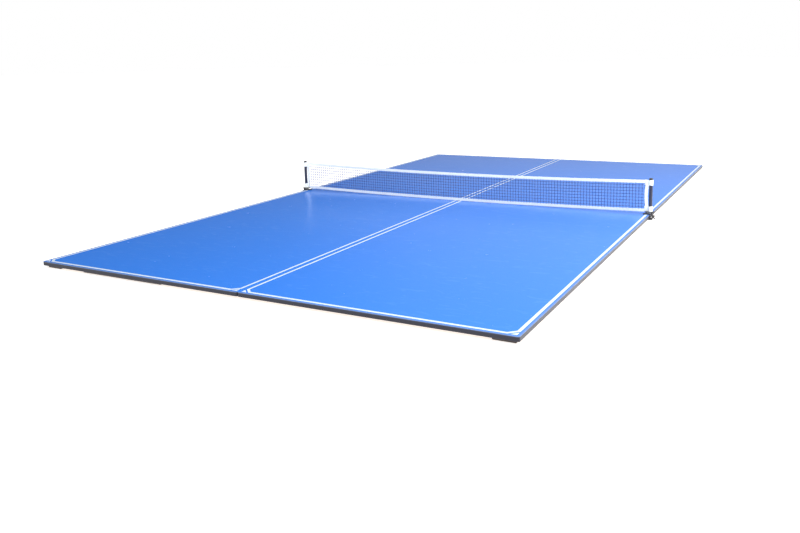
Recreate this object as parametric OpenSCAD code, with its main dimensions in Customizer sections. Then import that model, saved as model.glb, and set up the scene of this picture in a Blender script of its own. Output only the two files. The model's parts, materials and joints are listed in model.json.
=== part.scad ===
// Table tennis conversion top: four quarter boards that lie on any table,
// with a net on two posts that clip over the long edges.
// X runs across the top, Y along it, Z up. The origin is the middle of the top's footprint,
// in the plane that the foam pads stand on. "Near" is -Y, "left" is -X.
// Each quarter is drawn once, with u across from the centre seam and v along from the net seam.

/* [Top] */
// Length of the whole top, along Y
top_l = 2740; // [2400:10:2740]
// Width of the whole top, across X
top_w = 1524; // [1360:4:1524]
// Thickness of a board with its playing surface
board_t = 12; // [12:1:15]
// Gap between neighbouring quarters
seam_gap = 1; // [0.6:0.2:2]
// Radius of each quarter's upright corners
corner_r = 5; // [3:1:12]
// Thickness of the playing surface that is laid over the core
surface_t = 0.6; // [0.4:0.1:1]
// Thickness of the edge band
band_t = 1; // [0.8:0.1:2]

/* [Lines] */
// Width of the white line along the outer edges
line_w = 8.5; // [6:0.5:20]
// Width of the white line beside the centre seam
centre_line_w = 6.5; // [3:0.5:8]
// Blue margin between a line and the edge of its quarter
line_margin = 8; // [4:1:12]
// Length that the line's inner corner is cut off by
line_cut = 17; // [12:1:24]
// Legs of the small white triangle outside each cut corner
triangle_leg = 16; // [8:1:16]
// Thickness of the printed line
line_t = 0.12; // [0.1:0.01:0.2]

/* [Foam] */
// Thickness of the foam pads and strips
pad_t = 8; // [7.5:0.5:12]
// Side of the square corner pads
corner_pad = 57; // [40:1:80]
// Distance from a quarter's edges to its corner pads
pad_inset = 10.5; // [10.5:0.5:16]
// Distance from a quarter's outer end to the corner pad beside the centre seam
seam_pad_back = 60; // [10.5:0.5:80]
// Length of the foam strips, across the top
strip_l = 315; // [200:5:400]
// Width of the foam strips
strip_w = 40; // [25:5:60]
// Distance from the centre seam to the foam strips
strip_from_seam = 285; // [200:5:300]

/* [Joining] */
// Radius of the dowel pins in the net seam
pin_r = 3; // [2.5:0.5:3]
// Depth that a pin is glued into its board
pin_in = 25; // [20:1:40]
// Length of pin that stands out of the seam
pin_out = 15; // [10:1:17]
// Outer radius of the bush that takes a pin
bush_r = 4.2; // [3.8:0.2:4.6]
// Length of the bush
bush_l = 18; // [16:1:24]
// Width of the tongue in the centre seam
tongue_w = 16; // [12:2:24]
// Thickness of the tongue
tongue_t = 4; // [3:0.5:4]
// Length of each tongue
tongue_l = 660; // [400:10:660]

/* [Net] */
// Height of the net's top edge at the posts, above the playing surface
net_h = 126; // [110:1:153]
// How far the top edge sags at mid span
net_sag = 11; // [0:1:15]
// Height of the tapes along the top and the bottom
tape_h = 11; // [8:1:15]
// Rise of the bottom tape from mid span to the posts
foot_rise = 8.5; // [4:0.5:10]
// Width of the side tapes
side_tape_w = 11.3; // [9:0.1:11.3]
// How far the side tapes bow in at mid height
side_bow = 3; // [0:0.5:4]
// Height of the sleeves that go round the posts
sleeve_h = 19; // [15:1:24]

/* [Posts and clamps] */
// Radius of the posts
post_r = 6.25; // [5:0.25:6.25]
// Height of the base plate's upper face above the playing surface
base_h = 11; // [11:0.5:12]
// Width of a clamp, along the table's edge
clamp_w = 18; // [16:1:18]
// Reach of the jaws in from the table's edge
jaw_reach = 24; // [18:1:28]
// Radius of the clamp's pivot pin
pivot_r = 1.5; // [1.2:0.1:1.6]
// Turns of the torsion spring
spring_turns = 4; // [3:1:4]

/* [Hidden] */
$fn = 48;
QUARTER_PARTS = ["board", "surface", "edge_band", "lines", "corner_pads", "foam_strips"];
QUARTERS = ["near_left", "near_right", "far_left", "far_right"];
JOINING = ["near_left_dowels", "near_right_dowels", "far_left_bushes", "far_right_bushes",
           "near_tongue", "far_tongue"];
CLAMP_PARTS = ["clamp_frame", "foot_pad", "clamp_jaw", "jaw_pad", "pivot_pin", "spring",
               "post", "post_cap", "post_nut"];
SIDES = ["left", "right"];
NET_PARTS = ["net_mesh", "net_top_tape", "net_bottom_tape"];
NET_SIDE_PARTS = ["side_tape", "top_sleeve", "bottom_sleeve"];

// Heights
z_board = pad_t;
z_top = pad_t + board_t;
z_core_top = z_top - surface_t;
z_mid = pad_t + board_t / 2;

// A quarter's edges
u0 = seam_gap / 2;
v0 = seam_gap / 2;
u1 = top_w / 2;
v1 = top_l / 2;
dowel_us = [u1 / 4, u1 * 3 / 4];
running = 0.05;

// The tongue is fixed in the left quarters and free in the right ones
tongue_v = (v1 - tongue_l) / 2;
groove_travel = 310;
groove_play = 0.2;

// How far the foam strips lie from the end edge
strip_end_close = 14;
strip_end_back = 60;
strip_near_net = 180;

// The net, between the sleeves
post_x = u1 + 0.5;
cap_r = post_r + 0.45;
sleeve_in_r = cap_r + 0.3;
sleeve_wall = 0.9;
tape_t = 1.6;
mesh_t = 0.8;
net_half = post_x - 21.5;
net_steps = 32;
side_steps = 12;
side_end = net_half + side_bow;
net_top_z = z_top + net_h;
net_foot_z = z_top + 0.5;
post_top_z = net_top_z + 1;
sleeve_low_z = z_top + base_h + 0.3;
sleeve_high_z = net_top_z + 0.7 - sleeve_h;
side_low_z = sleeve_low_z + sleeve_h;
side_high_z = sleeve_high_z;

// The clamp
plate_t = 3.5;
foot_t = 2;
foot_pad_t = 1;
foot_gap = 0.2;
jaw_gap = 0.1;
jaw_pad_t = 2.4;
jaw_t = 4;
neck_x = post_x + 5.1;
neck_t = 4.4;
pivot_x = u1 + 6;
pivot_z = z_top - 7.5;
ear_r = 5;
ear_t = 2.8;
knuckle_r = 4.2;
knuckle_half = clamp_w / 2 - ear_t - 0.4;
coil_r = 2.4;
wire_r = 0.4;
coil_half = 2.2;
coil_slot = coil_half + wire_r + 0.4;
lever_t = 1.8;
lever_end_x = u1 + 19;
lever_root_x = u1 + 12.5;
leg_rise = 20;
leg_fall = 35;
leg_l = 11;
stud_r = 2.5;
nut_t = 2.7;
nut_flats = 8;
plug_r = 3;
plug_l = 8;

// ---------- shared shapes ----------

// A rectangle from corner a to corner b with round corners
module round_rect(a, b, r) {
    translate([a[0] + r, a[1]]) square([b[0] - a[0] - 2 * r, b[1] - a[1]]);
    translate([a[0], a[1] + r]) square([b[0] - a[0], b[1] - a[1] - 2 * r]);
    for (x = [a[0] + r, b[0] - r])
        for (y = [a[1] + r, b[1] - r])
            translate([x, y]) circle(r);
}

// Sets a quarter drawn at +X +Y into its own corner of the top
module at_quarter(q) {
    left = q == "near_left" || q == "far_left";
    near = q == "near_left" || q == "near_right";
    mirror([left ? 1 : 0, 0, 0])
        mirror([0, near ? 1 : 0, 0])
            children();
}

// Sets a piece drawn at the right-hand edge on its own side
module at_side(s) {
    mirror([s == "left" ? 1 : 0, 0, 0]) children();
}

// A box from corner a to corner b
module box(a, b) {
    translate(a) cube(b - a);
}

// Extrudes an outline drawn in x and z, centred on y = 0
module upright(t) {
    translate([0, t / 2, 0]) rotate([90, 0, 0]) linear_extrude(t) children();
}

// A cylinder along Y, centred on y = 0
module bar(x, z, r, l) {
    translate([x, l / 2, z]) rotate([90, 0, 0]) cylinder(r = r, h = l);
}

// ---------- quarter boards ----------

function has_pins(q) = q == "near_left" || q == "near_right";
function has_tongue(q) = q == "near_left" || q == "far_left";

// The bores for the pins or bushes in the net seam
module seam_bores(q) {
    r = has_pins(q) ? pin_r : bush_r;
    l = has_pins(q) ? pin_in : bush_l;
    for (u = dowel_us)
        translate([u, v0 + l, z_mid]) rotate([90, 0, 0]) cylinder(r = r, h = l + 1);
}

// The groove for the tongue: a tight one on the left, a longer free one on the right
module seam_groove(q) {
    play = has_tongue(q) ? 0 : groove_play;
    spare = has_tongue(q) ? 0 : groove_travel;
    box([0, tongue_v - spare, z_mid - tongue_t / 2 - play],
        [tongue_w / 2 + play, tongue_v + tongue_l + spare, z_mid + tongue_t / 2 + play]);
}

module quarter_board(q) {
    color("burlywood")
        at_quarter(q)
            difference() {
                translate([0, 0, z_board])
                    linear_extrude(z_core_top - z_board)
                        round_rect([u0 + band_t, v0 + band_t], [u1 - band_t, v1 - band_t],
                                   corner_r - band_t);
                seam_bores(q);
                seam_groove(q);
            }
}

module quarter_surface(q) {
    color([0.20, 0.42, 0.85])
        at_quarter(q)
            translate([0, 0, z_core_top])
                linear_extrude(surface_t)
                    round_rect([u0, v0], [u1, v1], corner_r);
}

module quarter_edge_band(q) {
    color([0.16, 0.16, 0.19])
        at_quarter(q)
            difference() {
                translate([0, 0, z_board])
                    linear_extrude(z_core_top - z_board)
                        difference() {
                            round_rect([u0, v0], [u1, v1], corner_r);
                            round_rect([u0 + band_t, v0 + band_t], [u1 - band_t, v1 - band_t],
                                       corner_r - band_t);
                        }
                seam_bores(q);
                seam_groove(q);
            }
}

// A printed line round three sides of a quarter, with cut corners. It starts and stops at the net seam.
module line_outline() {
    stop = v0 + 1;
    out_u0 = u0 + line_margin;
    out_u1 = u1 - line_margin;
    out_v = v1 - line_margin;
    in_u0 = out_u0 + centre_line_w;
    in_u1 = out_u1 - line_w;
    in_v = out_v - line_w;
    out_cut = line_cut + line_w * (2 - sqrt(2));
    difference() {
        polygon([[out_u0, stop], [out_u1, stop], [out_u1, out_v - out_cut],
                 [out_u1 - out_cut, out_v], [out_u0 + out_cut, out_v],
                 [out_u0, out_v - out_cut]]);
        polygon([[in_u0, stop - 1], [in_u1, stop - 1], [in_u1, in_v - line_cut],
                 [in_u1 - line_cut, in_v], [in_u0 + line_cut, in_v],
                 [in_u0, in_v - line_cut]]);
    }
    polygon([[out_u1, out_v], [out_u1 - triangle_leg, out_v], [out_u1, out_v - triangle_leg]]);
    polygon([[out_u0, out_v], [out_u0 + triangle_leg, out_v], [out_u0, out_v - triangle_leg]]);
}

module quarter_lines(q) {
    color("white")
        at_quarter(q)
            translate([0, 0, z_top])
                linear_extrude(line_t)
                    line_outline();
}

module quarter_corner_pads(q) {
    far_u = u1 - pad_inset - corner_pad;
    seam_u = u0 + pad_inset;
    net_v = v0 + pad_inset;
    places = [[seam_u, net_v], [seam_u, v1 - seam_pad_back - corner_pad],
              [far_u, net_v], [far_u, v1 - pad_inset - corner_pad]];
    color([0.16, 0.13, 0.12])
        at_quarter(q)
            for (place = places)
                translate(place)
                    linear_extrude(pad_t) round_rect([0, 0], [corner_pad, corner_pad], 3);
}

// Quarters that stand diagonally across from each other are alike
module quarter_foam_strips(q) {
    end_gap = q == "near_left" || q == "far_right" ? strip_end_close : strip_end_back;
    color([0.22, 0.16, 0.13])
        at_quarter(q)
            for (v = [strip_near_net, (v1 - strip_w) / 2, v1 - end_gap - strip_w])
                translate([strip_from_seam, v, 0])
                    linear_extrude(pad_t) round_rect([0, 0], [strip_l, strip_w], 3);
}

module dowels(q) {
    color("peru")
        at_quarter(q)
            for (u = dowel_us)
                translate([u, v0 + pin_in, z_mid])
                    rotate([90, 0, 0]) cylinder(r = pin_r, h = pin_in + pin_out);
}

module bushes(q) {
    color("goldenrod")
        at_quarter(q)
            for (u = dowel_us)
                translate([u, v0 + bush_l, z_mid])
                    rotate([90, 0, 0])
                        difference() {
                            cylinder(r = bush_r, h = bush_l);
                            translate([0, 0, -1]) cylinder(r = pin_r + running, h = bush_l + 2);
                        }
}

module tongue(q) {
    color("tan")
        at_quarter(q)
            box([-tongue_w / 2, tongue_v, z_mid - tongue_t / 2],
                [tongue_w / 2, tongue_v + tongue_l, z_mid + tongue_t / 2]);
}

// ---------- net ----------

// Heights along the net: the top edge sags, the bottom edge touches the table at mid span
function top_edge(x) = net_top_z - net_sag * (1 - pow(x / net_half, 2));
function foot_edge(x) = net_foot_z + foot_rise * pow(x / net_half, 2);
function net_x(i) = -net_half + 2 * net_half * i / net_steps;
// The inner edge of the side tape bows towards the middle of the table
function side_t(z) = (2 * z - side_high_z - side_low_z) / (side_high_z - side_low_z);
function side_x(z) = side_end - side_bow * (1 - pow(side_t(z), 2));
function side_z(i) = side_low_z + (side_high_z - side_low_z) * i / side_steps;

module net_top_tape() {
    low = [for (i = [0:net_steps]) [net_x(i), top_edge(net_x(i)) - tape_h]];
    high = [for (i = [net_steps:-1:0]) [net_x(i), top_edge(net_x(i))]];
    color("white") upright(tape_t) polygon(concat(low, high));
}

module net_bottom_tape() {
    low = [for (i = [0:net_steps]) [net_x(i), foot_edge(net_x(i))]];
    high = [for (i = [net_steps:-1:0]) [net_x(i), foot_edge(net_x(i)) + tape_h]];
    color("white") upright(tape_t) polygon(concat(low, high));
}

module net_mesh() {
    low = [for (i = [0:net_steps]) [net_x(i), foot_edge(net_x(i)) + tape_h]];
    right = [for (i = [0:side_steps]) [side_x(side_z(i)), side_z(i)]];
    high = [for (i = [net_steps:-1:0]) [net_x(i), top_edge(net_x(i)) - tape_h]];
    left = [for (i = [side_steps:-1:0]) [-side_x(side_z(i)), side_z(i)]];
    color([0.12, 0.16, 0.36])
        upright(mesh_t)
            polygon(concat(low, [[net_half, side_low_z]], right, [[net_half, side_high_z]],
                           high, [[-net_half, side_high_z]], left, [[-net_half, side_low_z]]));
}

module side_tape(s) {
    inner = [for (i = [0:side_steps]) [side_x(side_z(i)), side_z(i)]];
    outer = [for (i = [side_steps:-1:0]) [side_x(side_z(i)) + side_tape_w, side_z(i)]];
    color("white") at_side(s) upright(tape_t) polygon(concat(inner, outer));
}

// A band of tape that goes round the post and is sewn to the net's corner
module sleeve(s, z) {
    color("white")
        at_side(s)
            difference() {
                union() {
                    translate([post_x, 0, z]) cylinder(r = sleeve_in_r + sleeve_wall, h = sleeve_h);
                    box([net_half, -tape_t / 2, z], [post_x - sleeve_in_r, tape_t / 2, z + sleeve_h]);
                }
                translate([post_x, 0, z - 1]) cylinder(r = sleeve_in_r, h = sleeve_h + 2);
            }
}

// ---------- posts and clamps ----------

module post(s) {
    base_z = z_top + base_h;
    color([0.14, 0.15, 0.20])
        at_side(s)
            translate([post_x, 0, 0])
                difference() {
                    union() {
                        translate([0, 0, base_z]) cylinder(r = post_r, h = post_top_z - base_z);
                        translate([0, 0, base_z - plate_t - nut_t - 0.5])
                            cylinder(r = stud_r, h = plate_t + nut_t + 1);
                    }
                    translate([0, 0, post_top_z - plug_l]) cylinder(r = plug_r, h = plug_l + 1);
                }
}

module post_cap(s) {
    cap_h = 6;
    dome = 2;
    color([0.08, 0.08, 0.09])
        at_side(s)
            translate([post_x, 0, post_top_z])
                rotate_extrude() {
                    translate([0, -plug_l + 1]) square([plug_r, plug_l]);
                    square([cap_r, cap_h - dome]);
                    square([cap_r - dome, cap_h]);
                    translate([cap_r - dome, cap_h - dome])
                        intersection() {
                            circle(dome);
                            square(dome);
                        }
                }
}

module post_nut(s) {
    color("silver")
        at_side(s)
            translate([post_x, 0, z_top + base_h - plate_t - nut_t])
                difference() {
                    cylinder(d = nut_flats / cos(30), h = nut_t, $fn = 6);
                    translate([0, 0, -1]) cylinder(r = stud_r + running, h = nut_t + 2);
                }
}

// The direction and the tangent point of each spring leg, seen along Y
leg_a_from = [pivot_x + coil_r * sin(leg_rise), pivot_z - coil_r * cos(leg_rise)];
leg_b_from = [pivot_x + coil_r * sin(leg_fall), pivot_z + coil_r * cos(leg_fall)];
function leg_a_z(x) = leg_a_from[1] + (x - leg_a_from[0]) * tan(leg_rise);
function leg_b_z(x) = leg_b_from[1] - (x - leg_b_from[0]) * tan(leg_fall);

// The upper half of the clip: base plate, foot, neck, ears and the upper squeeze lever
module clamp_frame(s) {
    half = clamp_w / 2;
    base_z = z_top + base_h;
    foot_z = z_top + foot_gap + foot_pad_t;
    under_lever = leg_a_z(lever_root_x) + wire_r + 0.1;
    lever_rise = leg_a_z(lever_end_x) - leg_a_z(lever_root_x);
    color([0.09, 0.09, 0.10])
        at_side(s)
            difference() {
                union() {
                    box([post_x - 16.5, -half, base_z - plate_t], [post_x + 13.5, half, base_z]);
                    box([u1 - jaw_reach, -half, foot_z], [neck_x + neck_t, half, foot_z + foot_t]);
                    box([neck_x, -half, pivot_z + 5], [neck_x + neck_t, half, base_z - plate_t]);
                    for (side = [-1, 1])
                        translate([0, side * (half - ear_t / 2), 0]) {
                            bar(pivot_x, pivot_z, ear_r, ear_t);
                            upright(ear_t)
                                polygon([[neck_x - 2, pivot_z], [pivot_x + ear_r, pivot_z],
                                         [neck_x + neck_t, pivot_z + 5], [neck_x, pivot_z + 5]]);
                            upright(ear_t)
                                polygon([[pivot_x + 3, pivot_z - 2], [lever_root_x, under_lever],
                                         [lever_end_x, under_lever + lever_rise],
                                         [lever_end_x - 0.7, under_lever + lever_rise + lever_t],
                                         [pivot_x + 3, pivot_z + 3]]);
                        }
                    upright(clamp_w)
                        polygon([[lever_root_x, under_lever],
                                 [lever_end_x, under_lever + lever_rise],
                                 [lever_end_x - 0.7, under_lever + lever_rise + lever_t],
                                 [lever_root_x - 0.7, under_lever + lever_t]]);
                }
                bar(pivot_x, pivot_z, pivot_r + running, clamp_w + 2);
                translate([post_x, 0, base_z - plate_t - 1]) cylinder(r = stud_r + running, h = plate_t + 2);
            }
}

module foot_pad(s) {
    half = clamp_w / 2 - 0.5;
    color([0.05, 0.05, 0.05])
        at_side(s)
            box([u1 - jaw_reach + 0.5, -half, z_top + foot_gap],
                [u1 - 1, half, z_top + foot_gap + foot_pad_t]);
}

// The lower half of the clip: jaw, riser, two knuckles round the pin and the lower squeeze lever
module clamp_jaw(s) {
    half = clamp_w / 2;
    jaw_top = z_board - jaw_gap - jaw_pad_t;
    over_lever = leg_b_z(lever_root_x) - wire_r - 0.2;
    lever_fall = leg_b_z(lever_end_x - 1) - leg_b_z(lever_root_x);
    color([0.09, 0.09, 0.10])
        at_side(s)
            difference() {
                union() {
                    box([u1 - jaw_reach, -half, jaw_top - jaw_t], [u1 + 4, half, jaw_top]);
                    box([u1 + 2, -knuckle_half, jaw_top - jaw_t], [u1 + 9, knuckle_half, pivot_z]);
                    bar(pivot_x, pivot_z, knuckle_r, 2 * knuckle_half);
                    upright(2 * knuckle_half)
                        polygon([[u1 + 8, pivot_z - 8.5], [u1 + 8, pivot_z - 3.6],
                                 [lever_root_x, over_lever],
                                 [lever_end_x - 1, over_lever + lever_fall],
                                 [lever_end_x - 2, over_lever + lever_fall - lever_t],
                                 [lever_root_x - 1, over_lever - lever_t - 0.3]]);
                }
                bar(pivot_x, pivot_z, pivot_r + running, clamp_w);
                bar(pivot_x, pivot_z, coil_r + wire_r + 0.4, 2 * coil_slot);
                box([pivot_x, -coil_slot, pivot_z - 2.4], [pivot_x + 6, coil_slot, pivot_z + 5]);
            }
}

module jaw_pad(s) {
    half = clamp_w / 2 - 0.5;
    color([0.05, 0.05, 0.05])
        at_side(s)
            box([u1 - jaw_reach + 0.5, -half, z_board - jaw_gap - jaw_pad_t],
                [u1 - 1, half, z_board - jaw_gap]);
}

module pivot_pin(s) {
    head_r = pivot_r + 0.9;
    head_t = 0.8;
    color("silver")
        at_side(s) {
            bar(pivot_x, pivot_z, pivot_r, clamp_w);
            for (side = [-1, 1])
                translate([0, side * (clamp_w + head_t) / 2, 0])
                    bar(pivot_x, pivot_z, head_r, head_t);
        }
}

// The spring's wire: a leg, the turns round the pin, and the other leg
coil_start = -90 + leg_rise;
coil_turn = 360 * spring_turns + 180 + leg_fall + leg_rise;
coil_steps = 16 * spring_turns + 8;
function coil_point(i) =
    let (a = coil_start - coil_turn * i / coil_steps)
    [pivot_x + coil_r * cos(a), -coil_half + 2 * coil_half * i / coil_steps,
     pivot_z + coil_r * sin(a)];
wire_path = concat(
    [[leg_a_from[0] + leg_l * cos(leg_rise), -coil_half, leg_a_from[1] + leg_l * sin(leg_rise)]],
    [for (i = [0:coil_steps]) coil_point(i)],
    [[leg_b_from[0] + leg_l * cos(leg_fall), coil_half, leg_b_from[1] - leg_l * sin(leg_fall)]]);

function unit(v) = v / norm(v);
function along(p, i) = unit(p[min(i + 1, len(p) - 1)] - p[max(i - 1, 0)]);
function ring(p, i, r, sides) =
    let (t = along(p, i), side = unit(cross(t, [0, 1, 0])), up = cross(side, t))
    [for (k = [0:sides - 1])
        p[i] + r * (cos(360 * k / sides) * side + sin(360 * k / sides) * up)];

// A round wire of radius r along the points p
module wire(p, r, sides) {
    n = len(p);
    points = [for (i = [0:n - 1]) each ring(p, i, r, sides)];
    walls = [for (i = [0:n - 2]) for (k = [0:sides - 1])
        [i * sides + k, i * sides + (k + 1) % sides,
         (i + 1) * sides + (k + 1) % sides, (i + 1) * sides + k]];
    first = [for (k = [sides - 1:-1:0]) k];
    last = [for (k = [0:sides - 1]) (n - 1) * sides + k];
    polyhedron(points, concat(walls, [first, last]));
}

module spring(s) {
    color("silver") at_side(s) wire(wire_path, wire_r, 8);
}

// ---------- the nodes ----------

module quarter_part(q, p) {
    if (p == "board") quarter_board(q);
    if (p == "surface") quarter_surface(q);
    if (p == "edge_band") quarter_edge_band(q);
    if (p == "lines") quarter_lines(q);
    if (p == "corner_pads") quarter_corner_pads(q);
    if (p == "foam_strips") quarter_foam_strips(q);
}

module clamp_part(s, p) {
    if (p == "clamp_frame") clamp_frame(s);
    if (p == "foot_pad") foot_pad(s);
    if (p == "clamp_jaw") clamp_jaw(s);
    if (p == "jaw_pad") jaw_pad(s);
    if (p == "pivot_pin") pivot_pin(s);
    if (p == "spring") spring(s);
    if (p == "post") post(s);
    if (p == "post_cap") post_cap(s);
    if (p == "post_nut") post_nut(s);
}

module net_side_part(s, p) {
    if (p == "side_tape") side_tape(s);
    if (p == "top_sleeve") sleeve(s, sleeve_high_z);
    if (p == "bottom_sleeve") sleeve(s, sleeve_low_z);
}

for (q = QUARTERS)
    for (p = QUARTER_PARTS)
        quarter_part(q, p);
dowels("near_left");  // near_left_dowels
dowels("near_right");  // near_right_dowels
bushes("far_left");  // far_left_bushes
bushes("far_right");  // far_right_bushes
tongue("near_left");  // near_tongue
tongue("far_left");  // far_tongue
for (s = SIDES)
    for (p = CLAMP_PARTS)
        clamp_part(s, p);
net_mesh();
net_top_tape();
net_bottom_tape();
for (s = SIDES)
    for (p = NET_SIDE_PARTS)
        net_side_part(s, p);
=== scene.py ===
"""The looks of a table tennis conversion top: four boards on foam pads, and a net held by two clips."""

import json
import math

import bpy
from mathutils import Matrix, Vector, noise


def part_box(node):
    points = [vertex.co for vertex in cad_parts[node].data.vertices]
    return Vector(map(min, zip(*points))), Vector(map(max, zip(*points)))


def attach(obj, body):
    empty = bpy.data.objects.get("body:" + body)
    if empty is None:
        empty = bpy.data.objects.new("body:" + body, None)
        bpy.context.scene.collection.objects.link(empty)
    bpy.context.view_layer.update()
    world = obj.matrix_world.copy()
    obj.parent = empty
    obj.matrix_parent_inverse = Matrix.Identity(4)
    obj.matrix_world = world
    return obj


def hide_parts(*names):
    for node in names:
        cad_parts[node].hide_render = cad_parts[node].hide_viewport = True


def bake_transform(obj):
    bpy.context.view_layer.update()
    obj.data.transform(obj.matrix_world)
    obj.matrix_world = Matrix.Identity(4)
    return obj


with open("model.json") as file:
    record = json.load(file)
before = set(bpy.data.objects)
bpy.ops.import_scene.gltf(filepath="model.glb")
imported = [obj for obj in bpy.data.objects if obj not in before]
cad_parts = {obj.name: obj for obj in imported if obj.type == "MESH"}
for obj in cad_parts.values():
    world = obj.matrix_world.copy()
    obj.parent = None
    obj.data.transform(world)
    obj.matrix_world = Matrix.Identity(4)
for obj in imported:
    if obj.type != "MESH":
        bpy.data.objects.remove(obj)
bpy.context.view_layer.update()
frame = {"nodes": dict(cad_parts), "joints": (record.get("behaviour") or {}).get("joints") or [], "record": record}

NODES = frame["nodes"]
QUARTERS = ("near_left", "near_right", "far_left", "far_right")
SIDES = {"left": -1, "right": 1}
ROOT = "near_left_quarter"

# The radius that a round corner keeps however far its outline is set in
LEAST_CORNER = 0.0002


# ---------- meshes ----------

def mesh_piece(name, points, faces, material, smooth=True):
    """A new object from points and faces."""
    data = bpy.data.meshes.new(name)
    data.from_pydata([tuple(p) for p in points], [], faces)
    data.validate()
    if smooth:
        data.shade_smooth()
    else:
        data.shade_flat()
    piece = bpy.data.objects.new(name, data)
    bpy.context.scene.collection.objects.link(piece)
    data.materials.append(material)
    return piece


def crease(piece, degrees):
    """Shades a piece smooth but for edges sharper than this."""
    piece.data.shade_smooth()
    piece.data.set_sharp_from_angle(angle=math.radians(degrees))
    return piece


class Build:
    """Points and faces of one piece, gathered shape by shape."""

    def __init__(self):
        self.points = []
        self.faces = []

    def loft(self, rings):
        """Joins closed rings of equally many points, and caps the first and the last.
        The faces turn outwards where the rings run anticlockwise, seen from beyond the last."""
        start = len(self.points)
        n = len(rings[0])
        for ring in rings:
            self.points += ring
        for i in range(len(rings) - 1):
            for k in range(n):
                a = start + i * n + k
                b = start + i * n + (k + 1) % n
                self.faces.append((a, b, b + n, a + n))
        last = start + (len(rings) - 1) * n
        self.faces.append(tuple(range(start + n - 1, start - 1, -1)))
        self.faces.append(tuple(range(last, last + n)))

    def tube(self, line, radius, across, up, sides):
        """A round strand along a nearly straight line, with rings in the plane of across and up."""
        turn = [2 * math.pi * k / sides for k in range(sides)]
        self.loft([[p + radius * (math.cos(t) * across + math.sin(t) * up) for t in turn] for p in line])

    def wire(self, line, radius, sides=10):
        """A round wire along a curved line."""
        rings = []
        for i, p in enumerate(line):
            ahead = (line[min(i + 1, len(line) - 1)] - line[max(i - 1, 0)]).normalized()
            side = ahead.cross(Vector((0, 1, 0))).normalized()
            up = side.cross(ahead)
            rings.append([
                p + radius * (math.cos(t) * side + math.sin(t) * up)
                for t in (2 * math.pi * k / sides for k in range(sides))
            ])
        self.loft(rings)

    def piece(self, name, material):
        """A new object from all that was gathered."""
        return mesh_piece(name, self.points, self.faces, material)


def rounded_outline(low, high, radius, inset, steps=6):
    """Points round a rectangle with round corners, anticlockwise from above, set in by inset."""
    r = max(radius - inset, LEAST_CORNER)
    centres = (
        (high[0] - inset - r, high[1] - inset - r, 0),
        (low[0] + inset + r, high[1] - inset - r, 90),
        (low[0] + inset + r, low[1] + inset + r, 180),
        (high[0] - inset - r, low[1] + inset + r, 270),
    )
    outline = []
    for x, y, first in centres:
        for k in range(steps + 1):
            a = math.radians(first + 90 * k / steps)
            outline.append((x + r * math.cos(a), y + r * math.sin(a)))
    return outline


def lathe(build, centre, profile, sides=40):
    """Turns a profile of (radius, height) about the upright line through centre."""
    rings = []
    for radius, height in profile:
        rings.append([
            Vector((centre[0] + radius * math.cos(a), centre[1] + radius * math.sin(a), height))
            for a in (2 * math.pi * k / sides for k in range(sides))
        ])
    build.loft(rings)


def wobble(*place):
    """A smooth value from about -1 to 1 that depends only on the place."""
    return noise.noise(Vector(place))


# ---------- materials ----------

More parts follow.
